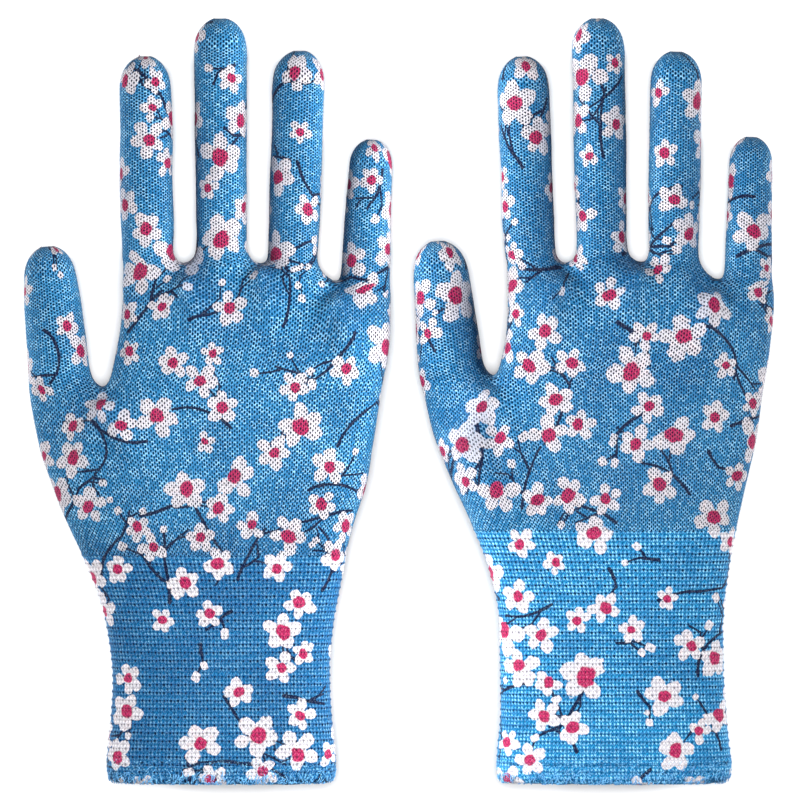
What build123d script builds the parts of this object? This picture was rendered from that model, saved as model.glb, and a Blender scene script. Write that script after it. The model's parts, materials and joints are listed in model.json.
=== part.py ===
"""A pair of seamless knitted gardening gloves, lying side by side on a flat surface.

Millimetres, +Z up, fingers along +Y, origin at the middle of the pair's footprint.
Each glove is knitted as tubes: five finger tubes, a palm in two sections, an elastic cuff and an overlocked hem.
The right-hand glove lies with its back up, the left-hand glove with its palm up, so both thumbs are on the -X side.
"""

import os
from dataclasses import dataclass

from build123d import *

# ---------------------------------------------------------------- driving dimensions
LENGTH = 240.0  # hem to middle fingertip
WALL = 1.2  # thickness of the knitted fabric
GAP = 0.3  # clearance between two sections where the fabric folds
HEM_HEIGHT = 8.0
HEM_PROUD = 0.6  # how far the overlocked hem stands off the cuff, inside and out
CUFF_INSET = 1.0  # how far the cuff's cut edge sits inside the hem
ELASTIC_RADIUS = 0.3
ELASTIC_PITCH = 2.47
ELASTIC_GAP = 0.1
ELASTIC_MARGIN = 4.0  # distance from the last elastic thread to the palm
SIDE_RADIUS = 10.5  # largest corner radius of a palm section
SIDE_ROUNDING = 0.45  # corner radius of a thinner section, as a share of its thickness
FOLD_RISE = 0.3  # height of a fold line above the upper skin
BORE_REACH = 4.0  # how far the opening into a finger is cut to each side of the palm's edge
HUGE = 300.0  # size of a cutting block


@dataclass
class Station:
    """A cross-section: its height from the hem, its side edges, its thickness and the height of its underside."""

    y: float
    left: float
    right: float
    thick: float
    under: float = 0.0


@dataclass
class Finger:
    """A finger tube: where its axis leaves the palm, its tip, its radii, and how far along it folds."""

    name: str
    root_x: float
    tip_x: float
    tip_y: float
    root_radius: float
    tip_radius: float
    fold_at: float


@dataclass
class Glove:
    """One glove of the pair. Its widths are measured from the middle of its cuff."""

    side: str
    cuff_x: float
    cuff: list
    lower_palm: list
    upper_palm: list
    knuckle_left: float
    knuckle_right: float
    thumb_rise: float
    fingers: list

    @property
    def cuff_top(self):
        return self.cuff[-1].y

    @property
    def fork(self):
        """Height of the fork between thumb and palm."""
        return self.upper_palm[0].y

    def place(self, x, y, z):
        """A point measured from the middle of this glove's hem, moved to its place in the pair."""
        return Vector(self.cuff_x + x, y - LENGTH / 2, z)

    def knuckle_height(self, x):
        """Height of the palm's slanting top edge at a distance x from the middle of the cuff."""
        last = self.upper_palm[-1]
        slope = (self.knuckle_right - self.knuckle_left) / (last.right - last.left)
        return self.knuckle_left + slope * (x - last.left)


RIGHT = Glove(
    side="right",
    cuff_x=-55.5,
    cuff=[
        Station(CUFF_INSET, -34.8, 34.8, 22.8, HEM_PROUD),
        Station(20.0, -34.6, 34.6, 22.8, HEM_PROUD),
        Station(36.0, -34.0, 34.0, 23.0, HEM_PROUD),
        Station(54.0, -36.8, 36.2, 23.6, HEM_PROUD),
        Station(71.4, -43.5, 39.2, 24.8, HEM_PROUD),
    ],
    lower_palm=[
        Station(71.4, -43.5, 39.2, 24.8, HEM_PROUD),
        Station(86.0, -50.5, 43.4, 27.4, -0.4),
        Station(101.0, -55.9, 46.8, 28.4, -0.4),
        Station(116.0, -59.4, 49.2, 28.2, -0.4),
        Station(124.7, -60.6, 50.4, 27.4, -0.4),
    ],
    upper_palm=[
        Station(124.7, -37.0, 50.4, 27.4, -0.4),
        Station(134.0, -33.2, 51.8, 26.4, -0.4),
        Station(145.0, -31.4, 53.0, 24.0, -0.4),
        Station(168.0, -31.4, 53.4, 18.6, 0.0),
    ],
    knuckle_left=165.0,
    knuckle_right=155.5,
    thumb_rise=0.0,
    fingers=[
        Finger("thumb", -50.4, -53.8, 168.6, 10.0, 8.4, 20.0),
        Finger("index", -23.1, -23.9, 228.4, 8.2, 8.1, 31.0),
        Finger("middle", 0.0, -0.4, LENGTH, 8.1, 8.0, 36.0),
        Finger("ring", 22.2, 24.2, 229.7, 7.9, 7.8, 32.0),
        Finger("little", 45.0, 46.8, 201.8, 7.7, 6.9, 22.0),
    ],
)

LEFT = Glove(
    side="left",
    cuff_x=67.5,
    cuff=[
        Station(CUFF_INSET, -35.7, 35.7, 22.8, HEM_PROUD),
        Station(20.0, -35.5, 35.3, 22.8, HEM_PROUD),
        Station(44.0, -35.7, 34.2, 23.0, HEM_PROUD),
        Station(62.0, -38.2, 35.2, 23.8, HEM_PROUD),
        Station(79.3, -43.6, 38.2, 25.4, HEM_PROUD),
    ],
    lower_palm=[
        Station(79.3, -43.6, 38.2, 25.4, HEM_PROUD),
        Station(90.0, -48.6, 40.6, 27.6, -0.4),
        Station(102.0, -54.0, 43.2, 28.4, -0.4),
        Station(117.0, -59.0, 46.2, 28.4, -0.4),
        Station(129.0, -61.4, 47.8, 27.6, -0.4),
    ],
    upper_palm=[
        Station(129.0, -37.6, 47.8, 27.6, -0.4),
        Station(137.0, -34.6, 48.8, 26.4, -0.4),
        Station(148.0, -33.8, 50.0, 23.8, -0.4),
        Station(169.0, -34.2, 50.4, 18.6, 0.0),
    ],
    knuckle_left=166.0,
    knuckle_right=157.0,
    thumb_rise=1.0,
    fingers=[
        Finger("thumb", -50.8, -54.2, 170.1, 10.4, 8.8, 19.0),
        Finger("index", -26.1, -28.4, 228.1, 8.1, 8.0, 31.0),
        Finger("middle", -3.6, -4.8, LENGTH, 8.1, 8.0, 36.0),
        Finger("ring", 18.8, 19.6, 229.7, 7.9, 7.8, 32.0),
        Finger("little", 42.0, 43.1, 202.7, 7.6, 6.8, 22.0),
    ],
)


def section(glove, station, inset=0.0):
    """The outline of a palm or cuff section as a face square to Y."""
    centre = (station.left + station.right) / 2
    middle = glove.place(centre, station.y, station.under + station.thick / 2)
    width = station.right - station.left - 2 * inset
    thick = station.thick - 2 * inset
    radius = min(SIDE_ROUNDING * station.thick, SIDE_RADIUS) - inset
    plane = Plane(origin=middle, x_dir=(1, 0, 0), z_dir=(0, 1, 0))
    return plane * RectangleRounded(width, thick, radius)


def tube(glove, stations, inset=0.0, grow_low=0.0, grow_high=0.0):
    """A solid lofted through the stations, with its ends grown straight on where asked."""
    faces = [section(glove, s, inset) for s in stations]
    body = loft(faces, ruled=True)
    if grow_low:
        body += extrude(faces[0], -grow_low)
    if grow_high:
        body += extrude(faces[-1], grow_high)
    return body


def above_table(body):
    """The body without what would reach below the surface that the gloves lie on."""
    table = Pos(0, 0, -HUGE / 2) * Box(3 * HUGE, 3 * HUGE, HUGE)
    return body - table


def before(glove, y):
    """A block that fills everything nearer the hem than the height y."""
    return Pos(glove.cuff_x, glove.place(0, y, 0).Y - HUGE / 2, 0) * Box(HUGE, HUGE, HUGE)


def beyond_knuckles(glove, back):
    """Everything past the slanting top edge of the palm, with that edge moved back towards the cuff."""
    low_left = glove.knuckle_height(-90.0) - back
    low_right = glove.knuckle_height(90.0) - back
    corners = [(-90.0, low_left), (90.0, low_right), (90.0, HUGE), (-90.0, HUGE)]
    points = [glove.place(x, y, -20.0) for x, y in corners]
    return extrude(make_face(Polyline(points, close=True)), 100, dir=(0, 0, 1))


def finger_root(glove, finger):
    """Where a finger's axis leaves the palm, in the middle of the gap between them."""
    if finger.name == "thumb":
        height = glove.fork + WALL + GAP / 2
        return glove.place(finger.root_x, height, finger.root_radius + glove.thumb_rise)
    height = glove.knuckle_height(finger.root_x) + GAP / 2
    return glove.place(finger.root_x, height, finger.root_radius)


def finger_tip(glove, finger):
    """The centre of a finger's round end."""
    rise = glove.thumb_rise if finger.name == "thumb" else 0.0
    return glove.place(finger.tip_x, finger.tip_y - finger.tip_radius, finger.tip_radius + rise)


def finger_plane(glove, finger, along=0.0):
    """A plane square to the finger's axis at a distance along it, with its x axis along the fold line."""
    root, tip = finger_root(glove, finger), finger_tip(glove, finger)
    direction = (tip - root).normalized()
    across = Vector(direction.Y, -direction.X, 0)
    return Plane(origin=root + direction * along, x_dir=across, z_dir=direction)


def finger_length(glove, finger):
    """Length of a finger's straight part, from the palm to the centre of its round end."""
    return (finger_tip(glove, finger) - finger_root(glove, finger)).length


def finger_radius(glove, finger, along):
    """Outer radius of a finger at a distance along it."""
    share = along / finger_length(glove, finger)
    return finger.root_radius + (finger.tip_radius - finger.root_radius) * share


def root_fold(glove, finger):
    """A point on the fold line between palm and finger, and the direction of that line."""
    if finger.name == "thumb":
        across = Vector(1, 0, 0)
    else:
        slope = glove.knuckle_height(1.0) - glove.knuckle_height(0.0)
        across = Vector(1.0, slope, 0).normalized()
    return finger_root(glove, finger) + Vector(0, 0, finger.root_radius + FOLD_RISE), across


def middle_fold(glove, finger):
    """A point on the fold line across the finger's middle joint, and the direction of that line."""
    plane = finger_plane(glove, finger, finger.fold_at)
    rise = finger_radius(glove, finger, finger.fold_at) + FOLD_RISE
    return plane.origin + Vector(0, 0, rise), plane.x_dir


def cuff_fold(glove):
    """A point on the fold line between the palm and the cuff, and the direction of that line."""
    seam = glove.cuff[-1]
    return glove.place(0, seam.y + GAP / 2, seam.under + seam.thick + FOLD_RISE), Vector(-1, 0, 0)


def finger_rod(glove, finger, start, end, inset=0.0):
    """A tapered solid rod along the finger's axis."""
    radii = [finger_radius(glove, finger, along) - inset for along in (start, end)]
    rod = Cone(radii[0], radii[1], end - start, align=(Align.CENTER, Align.CENTER, Align.MIN))
    return finger_plane(glove, finger, start) * rod


def finger_base(glove, finger):
    """The root half of a finger tube, open at both ends, its lower end cut parallel to the palm's edge."""
    start, end = -5.0, finger.fold_at - GAP / 2
    body = finger_rod(glove, finger, start, end) - finger_rod(glove, finger, start, end, WALL)
    if finger.name == "thumb":
        return body - before(glove, glove.fork + WALL + GAP)
    return body & beyond_knuckles(glove, -GAP)


def finger_end(glove, finger):
    """The far half of a finger tube, closed by its knitted round tip, turned from its outline."""
    start = finger.fold_at + GAP / 2
    low, tip = finger_radius(glove, finger, start), finger.tip_radius
    straight = finger_length(glove, finger) - start
    slant = 0.5**0.5
    core = tip - WALL
    outline = [
        Line((low - WALL, 0), (low, 0)),
        Line((low, 0), (tip, straight)),
        ThreePointArc((tip, straight), (tip * slant, straight + tip * slant), (0, straight + tip)),
        Line((0, straight + tip), (0, straight + core)),
        ThreePointArc((0, straight + core), (core * slant, straight + core * slant), (core, straight)),
        Line((core, straight), (low - WALL, 0)),
    ]
    face = Plane.XZ * make_face(outline)
    return finger_plane(glove, finger, start) * revolve(face, axis=Axis.Z)


def finger_bore(glove, finger):
    """The hollow that runs from the palm into a finger."""
    return finger_rod(glove, finger, -BORE_REACH, BORE_REACH, WALL)


def lower_palm(glove):
    """The palm from the cuff to the thumb's fork, open to the cuff, the upper palm and the thumb."""
    shell = tube(glove, glove.lower_palm, grow_high=WALL)
    hollow = tube(glove, glove.lower_palm, inset=WALL, grow_low=5.0)
    to_palm = extrude(section(glove, glove.upper_palm[0], inset=WALL), 10.0, both=True)
    to_thumb = finger_bore(glove, glove.fingers[0])
    below_fold = before(glove, glove.cuff_top + GAP)
    return above_table(shell) - hollow - to_palm - to_thumb - below_fold


def upper_palm(glove):
    """The palm from the thumb's fork to the knuckles, with an opening into each of the four fingers."""
    shell = tube(glove, glove.upper_palm) - beyond_knuckles(glove, 0.0)
    hollow = tube(glove, glove.upper_palm, inset=WALL, grow_low=5.0) - beyond_knuckles(glove, WALL)
    body = above_table(shell) - hollow
    for finger in glove.fingers[1:]:
        body -= finger_bore(glove, finger)
    return body - before(glove, glove.fork + WALL)


def cuff(glove):
    """The elastic rib cuff, open at both ends."""
    return tube(glove, glove.cuff) - tube(glove, glove.cuff, WALL, 5.0, 5.0)


def hem(glove, cuff_body):
    """The overlocked hem that wraps the cuff's cut edge."""
    edge = glove.cuff[0]
    bottom = Station(0.0, edge.left, edge.right, edge.thick, edge.under)
    outer = extrude(section(glove, bottom, -HEM_PROUD), HEM_HEIGHT)
    inner = extrude(section(glove, bottom, WALL + HEM_PROUD), HEM_HEIGHT)
    return outer - inner - cuff_body


def cuff_station(glove, y):
    """The cuff's cross-section at a height between two stations."""
    below = [s for s in glove.cuff if s.y <= y][-1]
    above = [s for s in glove.cuff if s.y > y][0]
    share = (y - below.y) / (above.y - below.y)
    values = [a + (b - a) * share for a, b in zip(vars(below).values(), vars(above).values())]
    return Station(*values)


def elastic_threads(glove):
    """Rings of covered elastic thread that lie against the inside of the cuff."""
    rings = []
    low, high = HEM_HEIGHT + ELASTIC_PITCH, glove.cuff_top - ELASTIC_MARGIN
    for n in range(int((high - low) / ELASTIC_PITCH) + 1):
        station = cuff_station(glove, low + n * ELASTIC_PITCH)
        path = section(glove, station, WALL + ELASTIC_GAP + ELASTIC_RADIUS).wire()
        profile = Plane(origin=path @ 0, z_dir=path % 0) * Circle(ELASTIC_RADIUS)
        rings.append(sweep(profile, path=path, transition=Transition.ROUND).solid())
    return Compound(rings)


def parts_of(glove):
    """Every sub-part of one glove, by the name of its node."""
    cuff_body = cuff(glove)
    made = {
        "palm_upper": upper_palm(glove),
        "palm_lower": lower_palm(glove),
        "cuff": cuff_body,
        "hem": hem(glove, cuff_body),
        "elastic": elastic_threads(glove),
    }
    for finger in glove.fingers:
        made[finger.name + "_base"] = finger_base(glove, finger)
        made[finger.name + "_end"] = finger_end(glove, finger)
    return {f"{glove.side}_{name}": shape for name, shape in made.items()}


def main():
    os.makedirs("parts", exist_ok=True)
    for glove in (RIGHT, LEFT):
        for name, shape in parts_of(glove).items():
            export_step(shape, f"parts/{name}.step")


if __name__ == "__main__":
    main()
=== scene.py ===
"""A pair of knitted gardening gloves with a blossom print, lying side by side on a pale floor.

Each glove is one smooth skin over its finger tubes, palm, cuff and hem, cut into a piece for each section.
The stitches, the holes between them and the print follow from where a place lies on the fabric.
"""

import itertools
import json
import math

import bpy
import numpy as np
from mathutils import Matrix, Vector

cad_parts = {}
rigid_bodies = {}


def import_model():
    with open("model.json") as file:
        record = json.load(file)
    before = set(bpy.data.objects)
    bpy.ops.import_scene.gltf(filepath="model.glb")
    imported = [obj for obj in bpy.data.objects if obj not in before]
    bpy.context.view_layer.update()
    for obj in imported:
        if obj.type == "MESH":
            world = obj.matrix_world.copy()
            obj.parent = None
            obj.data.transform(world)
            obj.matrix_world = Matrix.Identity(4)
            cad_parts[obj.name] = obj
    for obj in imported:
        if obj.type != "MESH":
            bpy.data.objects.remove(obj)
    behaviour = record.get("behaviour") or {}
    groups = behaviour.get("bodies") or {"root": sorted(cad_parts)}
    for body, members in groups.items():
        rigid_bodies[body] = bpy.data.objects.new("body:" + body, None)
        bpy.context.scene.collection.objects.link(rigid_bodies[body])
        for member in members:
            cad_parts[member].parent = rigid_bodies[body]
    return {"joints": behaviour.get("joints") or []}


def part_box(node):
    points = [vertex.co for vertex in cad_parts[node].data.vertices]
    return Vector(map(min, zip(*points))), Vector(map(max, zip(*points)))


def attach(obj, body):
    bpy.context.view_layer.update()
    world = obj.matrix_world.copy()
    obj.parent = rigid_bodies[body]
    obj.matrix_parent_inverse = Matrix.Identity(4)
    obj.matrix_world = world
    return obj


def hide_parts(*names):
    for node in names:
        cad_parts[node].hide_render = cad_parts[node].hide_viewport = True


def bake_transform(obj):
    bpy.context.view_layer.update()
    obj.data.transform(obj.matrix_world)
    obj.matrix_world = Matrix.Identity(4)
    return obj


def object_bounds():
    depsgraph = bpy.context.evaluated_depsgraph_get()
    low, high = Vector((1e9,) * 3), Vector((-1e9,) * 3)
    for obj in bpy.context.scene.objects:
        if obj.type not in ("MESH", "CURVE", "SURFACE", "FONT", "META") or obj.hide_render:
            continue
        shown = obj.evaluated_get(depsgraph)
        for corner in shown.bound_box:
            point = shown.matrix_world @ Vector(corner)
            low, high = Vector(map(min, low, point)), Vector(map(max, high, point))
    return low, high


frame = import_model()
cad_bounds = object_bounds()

MM = 0.001
LENGTH = 240.0  # mm from the hem to the tip of the middle finger
LOWEST = 0.05  # mm, where the fabric lies on the floor
WALL = 1.3  # mm from the cuff's outer skin to its inner one

# the cage that is subdivided, and the knit laid over it
FINENESS = 3  # each cage face becomes 4 ** FINENESS faces
PALM_ROWS = 9  # cage rows from the cuff to the thumb's fork
UPPER_ROWS = 7  # and from there to the knuckles
THUMB_COLUMNS = 7
FINGER_COLUMNS = 6
TOP = THUMB_COLUMNS + 4 * FINGER_COLUMNS + 1  # cage vertices across the upper side of the lower palm
RING = 2 * TOP + 2  # cage columns round the lower palm and the cuff
WALES = 4  # knitted columns in one cage column
COURSES = 4  # knitted rows in one cage row of the palm
FINGER_COURSES = 5
TOE_COURSES = 2.6  # knitted rows in one cage row of a finger's closed end
CUFF_ROW_RIDGES = 2
WALE_WIDTH = 0.85  # mm
COURSE_HEIGHT = 1.3  # mm
BY_HEIGHT = [(0, 0)]  # stands for a row whose stitches are counted by their height, once the skin is smooth
COLUMN_DENSITY = {"palm": 1.17, "finger": 0.87}  # of the knitted columns, against four to a cage column
UNDER_WALES = 400.0  # knitted columns of the underside are counted down from here
UNDER_PLACE = 380.0  # places across the print on the underside are measured back from here, in mm
SIDE_REACH = 4.0  # mm of fabric between a finger's outermost upper column and its side
OVAL_POWER = 2.5
ANGLES = np.linspace(math.pi, -math.pi, 1441)

# details in mm
FORK_RADIUS = 1.9  # of the rounded notch between two fingers
TIP_LENGTH = 1.2  # the finger tips are this much longer than a half sphere
EDGE_HEIGHT = 1.2  # of the cuff's cut edge inside the hem
FOLD_START = 4.5  # where the place of a finger's fold is counted from, along its tube
HEM_BAND = [(8.9, 0.45), (8.0, -0.10), (5.2, -0.30), (2.2, -0.32), (0.7, -0.10), (0.0, 0.65), (0.6, 1.5),
            (3.0, 1.9), (6.5, 1.9), (8.0, 1.4)]  # height from the hem and distance inside the cuff's skin
HEM_LOOPS = 520
CORE_REACH, CORE_HEIGHT = 24.0, 11.5  # of the line inside a cuff that its walls look away from
THREAD_RADIUS = 0.3
THREAD_PITCH = 2.47

# the print, in mm
PRINT_WIDTH, PRINT_HEIGHT = 164.0, 285.0
PRINT_FOOT = -18.0  # height from the hem at which the print starts
SPRIG_STEP = 26.0  # between its sprigs
TWIG_STEP = 2.0
AWAY = 9.0  # place given to fabric with no oval or twig near it

# how far the blue is darkened on the palm and on the cuff of each glove
BLUE_DEPTH = {"right": (0.05, 0.52), "left": (0.16, 0.0)}  # of the palm and of the cuff
HOLES_CLOSE = {"right": 0.0, "left": -0.38}  # change of the holes' depth from the wrist to the hem

# Shapes of the two gloves in mm. Widths are measured from the middle of each cuff, heights from the hem.
# left, right and inner are edges and knuckles the line where the finger tubes start; thick is a thickness.
# A finger is (root across, tip across, tip height, root radius, tip radius, place of its fold, rise).
# A fold is a soft crease in the shape; a shade patch is a stretch of painted shade in a web between fingers
# or along one side of a finger: for each, where it is deepest, where it dies out, its width and its depth.
FINGERS = ("thumb", "index", "middle", "ring", "little")
HAND = {
    "right": dict(
        cuff_x=-55.5,
        cuff_top=71.4,
        fork=122.6,
        cuff_rows=14,
        left=[(0, -33.0), (1.2, -34.7), (3.4, -35.4), (20, -34.6), (34, -34.0), (45, -35.2), (56, -37.4),
              (71, -43.4), (86, -50.5), (101, -55.9), (116, -59.3), (125, -60.7)],
        right=[(0, 33.0), (1.2, 34.7), (3.4, 35.4), (20, 34.6), (36, 34.0), (49, 35.0), (64, 37.8),
               (79, 40.8), (94, 45.6), (109, 48.2), (124, 50.3), (139, 52.5), (154, 53.5), (170, 53.4)],
        inner=[(122.6, -37.0), (125.4, -35.8), (129, -34.6), (136, -33.0), (144, -31.6), (154, -31.0),
               (170, -31.4)],
        thick=[(0, 22.8), (36, 23.0), (54, 23.6), (71, 24.8), (86, 27.0), (101, 28.0), (116, 27.8),
               (125, 27.0), (134, 25.8), (145, 23.4), (168, 18.4)],
        forks=(-12.3, 11.6, 34.7),
        knuckles=[(-32, 163.6), (-12.3, 161.4), (11.6, 163.4), (34.7, 156.0), (54, 153.0)],
        fingers=[
            (-50.4, -53.8, 168.6, 10.0, 8.35, 20.0, 0.0),
            (-23.1, -23.9, 228.4, 8.3, 8.15, 31.0, 0.0),
            (0.0, -0.4, LENGTH, 8.1, 8.2, 36.0, 0.0),
            (22.2, 24.2, 229.7, 7.9, 8.1, 32.0, 0.0),
            (45.0, 46.8, 201.8, 7.8, 6.8, 22.0, 0.0),
        ],
        folds=[
            (-12.6, 157, -18.0, 143, 5.5, 1.2), (-12.0, 157, -6.5, 140, 8.5, 4.0),
            (11.2, 159, 8.0, 145, 5.0, 1.2), (12.0, 159, 17.5, 141, 8.5, 4.0),
            (35.2, 151, 41.0, 130, 8.5, 4.2), (34.0, 151, 29.0, 138, 4.0, 1.0),
            (-38.0, 118, -43.0, 98, 7.0, 3.0), (-36.0, 118, -26.0, 100, 7.5, 3.2),
            (-30.5, 159, -25.0, 142, 5.0, 1.2), (-20.0, 84, -34.0, 70, 3.5, 0.7),
            (26.0, 84, 38.0, 68, 3.5, 0.8), (6.0, 82, 4.0, 66, 3.0, 0.5),
        ],
        # painted shade in the webs between the fingers and along one side of some fingers
        shade_patches=[
            (-10.5, 163, -4.5, 142, 8.5, 0.70), (-7.6, 159, -8.6, 228, 6.0, 0.50),
            (13.5, 163, 17.0, 146, 8.0, 0.60), (14.9, 161, 16.2, 222, 6.0, 0.50),
            (36.5, 157, 42.0, 137, 8.0, 0.60), (37.8, 156, 39.6, 196, 6.0, 0.45),
            (-38.0, 124, -33.0, 104, 10.0, 0.45), (-31.0, 158, -31.5, 220, 5.0, 0.35),
        ],
    ),
    "left": dict(
        cuff_x=67.5,
        cuff_top=79.3,
        fork=126.2,
        cuff_rows=16,
        left=[(0, -33.9), (1.2, -35.6), (3.4, -36.3), (20, -35.6), (42, -35.8), (56, -36.4), (64, -38.4),
              (71, -40.4), (79, -43.8), (86, -46.9), (101, -53.7), (116, -58.6), (129, -61.5)],
        right=[(0, 33.9), (1.2, 35.6), (3.4, 36.3), (18, 35.4), (42, 34.2), (48, 34.2), (63, 35.4),
               (78, 37.9), (93, 41.1), (108, 44.5), (123, 47.0), (139, 48.9), (157, 50.5), (170, 50.5)],
        inner=[(126.2, -38.0), (129, -36.8), (132, -35.9), (136, -34.9), (143, -33.7), (157, -33.8),
               (170, -34.2)],
        thick=[(0, 22.8), (44, 23.0), (62, 23.8), (79, 25.4), (90, 27.2), (102, 28.0), (117, 28.0),
               (129, 27.2), (137, 25.8), (148, 23.4), (169, 18.4)],
        forks=(-16.0, 8.0, 31.4),
        knuckles=[(-34, 163.6), (-16.0, 161.0), (8.0, 163.7), (31.4, 156.8), (51, 154.0)],
        fingers=[
            (-50.8, -54.2, 170.1, 10.4, 8.75, 19.0, 1.0),
            (-26.1, -28.4, 228.1, 8.2, 8.0, 31.0, 0.0),
            (-3.6, -4.8, LENGTH, 8.1, 8.15, 36.0, 0.0),
            (18.8, 19.6, 229.7, 7.9, 8.1, 32.0, 0.0),
            (42.0, 43.1, 202.7, 7.6, 6.7, 22.0, 0.0),
        ],
        folds=[
            (-16.6, 157, -22.5, 138, 8.5, 4.0), (-15.4, 157, -9.5, 144, 4.5, 1.2),
            (7.6, 159, 2.0, 142, 8.5, 4.0), (8.7, 159, 14.0, 146, 4.5, 1.1),
            (31.2, 152, 26.0, 134, 8.5, 4.0), (31.6, 152, 36.0, 140, 4.5, 1.2),
            (-40.0, 122, -47.0, 98, 8.5, 4.2), (-37.0, 122, -27.0, 94, 7.0, 2.2),
            (-50.0, 111, -32.0, 82, 9.0, 3.4), (-24.0, 92, -38.0, 76, 3.5, 0.8),
            (24.0, 94, 37.0, 77, 3.5, 0.9), (2.0, 92, 0.0, 74, 3.0, 0.5),
        ],
        # painted shade in the webs between the fingers and along one side of some fingers
        shade_patches=[
            (-17.5, 162, -22.0, 142, 8.5, 0.60), (-19.0, 161, -21.4, 222, 7.0, 0.55),
            (6.0, 163, 1.0, 146, 8.0, 0.60), (3.6, 161, 2.6, 230, 6.5, 0.50),
            (29.6, 157, 25.0, 138, 8.0, 0.60), (26.2, 156, 26.6, 222, 6.5, 0.50),
            (-41.5, 119, -47.5, 96, 10.0, 0.75), (-43.0, 123, -46.0, 170, 9.0, 0.75),
            (48.4, 154, 49.5, 198, 5.0, 0.30),
        ],
    ),
}


def curve(points):
    """A smooth curve through (position, value) points, as a function of position."""
    xs, ys = np.array(points, float).T
    slopes = np.gradient(ys, xs)

    def at(x):
        x = np.clip(x, xs[0], xs[-1])
        i = np.clip(np.searchsorted(xs, x, side="right") - 1, 0, len(xs) - 2)
        width = xs[i + 1] - xs[i]
        t = (x - xs[i]) / width
        rise = (2 * t**3 - 3 * t**2 + 1) * ys[i] + (3 * t**2 - 2 * t**3) * ys[i + 1]
        return rise + width * ((t**3 - 2 * t**2 + t) * slopes[i] + (t**3 - t**2) * slopes[i + 1])

    return at


def smoothstep(low, high, x):
    t = np.clip((x - low) / (high - low), 0.0, 1.0)
    return t * t * (3 - 2 * t)


def oval(left, right, low, high, count):
    """Points at equal steps round an oval, from its left end over the top and back underneath."""
    x = np.sign(np.cos(ANGLES)) * np.abs(np.cos(ANGLES)) ** (2 / OVAL_POWER) * (right - left) / 2
    z = np.sign(np.sin(ANGLES)) * np.abs(np.sin(ANGLES)) ** (2 / OVAL_POWER) * (high - low) / 2
    length = np.concatenate([[0.0], np.cumsum(np.hypot(np.diff(x), np.diff(z)))])
    at = np.arange(count) / count * length[-1]
    x, z = np.interp(at, length, x), np.interp(at, length, z)
    return np.stack([(left + right) / 2 + x, (low + high) / 2 + z], 1)


def linked(name, data):
    """An object that holds this data, linked to the scene."""
    obj = bpy.data.objects.new(name, data)
    bpy.context.collection.objects.link(obj)
    return obj


class Cage:
    """The coarse form of a glove: vertices, faces, their place on the fabric and the piece they belong to."""

    def __init__(self):
        self.points = []
        self.softness = []
        self.faces = []
        self.knit = []
        self.fabric = []
        self.pieces = []
        self.courses = {}  # piece: (knitted row, height of that row, rows to the mm)

    def add(self, points, softness=0.0):
        start = len(self.points)
        self.points += [tuple(p) for p in points]
        self.softness += [softness] * len(points)
        return list(range(start, len(self.points)))

    def face(self, corners, knit, fabric, piece):
        self.faces.append(corners)
        self.knit.append(knit)
        self.fabric.append(fabric)
        self.pieces.append(piece)

    def tube(self, rings, columns, rows, piece_of_row, outward=True):
        """Faces between successive rings. A column holds two knitted columns, a row (course, height)."""
        count = len(columns)
        for r in range(len(rings) - 1):
            low, high = rings[r], rings[r + 1]
            for k in range(count):
                n = (k + 1) % count
                (a, b), (c0, y0), (c1, y1) = columns[k], rows[r], rows[r + 1]
                corners = [low.ids[k], high.ids[k], high.ids[n], low.ids[n]]
                knit = [(a, c0), (a, c1), (b, c1), (b, c0)]
                (a0, b0), (a1, b1) = low.places(k), high.places(k)
                fabric = [(a0, y0), (a1, y1), (b1, y1), (b0, y0)]
                if not outward:
                    corners, knit, fabric = corners[::-1], knit[::-1], fabric[::-1]
                self.face(corners, knit, fabric, piece_of_row[r])


class Ring:
    """One ring of cage vertices: its left end, the upper ones, its right end and the lower ones back again.

    over and under hold how far across the print its vertices lie on each side, from left to right.
    """

    def __init__(self, ids, over, under):
        self.ids = ids
        self.over = over
        self.under = under

    def places(self, k):
        """The two places across the print of the column that starts at vertex k."""
        count = len(self.ids)
        if k < count // 2:
            return self.over[k], self.over[k + 1]
        return UNDER_PLACE - self.under[count - k], UNDER_PLACE - self.under[count - k - 1]

    def part(self, first, columns, left_end, right_end):
        """The ring of a tube that starts on this one: its first upper vertex and its number of columns."""
        count = len(self.ids)
        chosen = slice(first, first + columns + 1)
        lower = self.ids[count - first - columns:count - first + 1]
        rows = []
        for row in (self.over, self.under):
            low = row[first - 1] if first == 1 else row[first] - SIDE_REACH
            last = first + columns
            high = row[last + 1] if last + 2 == len(row) else row[last] + SIDE_REACH
            rows.append([low, *row[chosen], high])
        return Ring([left_end, *self.ids[chosen], right_end, *lower], *rows)


def ring_of(cage, points, softness=0.0):
    """Adds a ring of vertices and measures round it from above its middle and from below its middle."""
    points = np.asarray(points)
    half = len(points) // 2
    middle = (points[0, 0] + points[half, 0]) / 2
    sides = []
    for side in (points[:half + 1], np.concatenate([points[half:], points[:1]])[::-1]):
        along = np.concatenate([[0.0], np.cumsum(np.linalg.norm(np.diff(side, axis=0), axis=1))])
        sides.append(list(middle + along - np.interp(middle, side[:, 0], along)))
    return Ring(cage.add(points, softness), *sides)


def ring_columns(first_top, tops):
    """Knitted columns of a ring whose upper side has that many vertices, starting at first_top."""
    top = [(first_top + j) * WALES for j in range(-1, tops + 1)]
    under = [UNDER_WALES - t for t in reversed(top)]
    return list(zip(top, top[1:])) + list(zip(under, under[1:]))


def thinned(xz, x, width, amount):
    """Heights of a ring's points, drawn towards its middle height around one place across the hand."""
    middle = (xz[:, 1].min() + xz[:, 1].max()) / 2
    return middle + (xz[:, 1] - middle) * (1 - amount * np.exp(-((xz[:, 0] - x) / width) ** 2))


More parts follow.
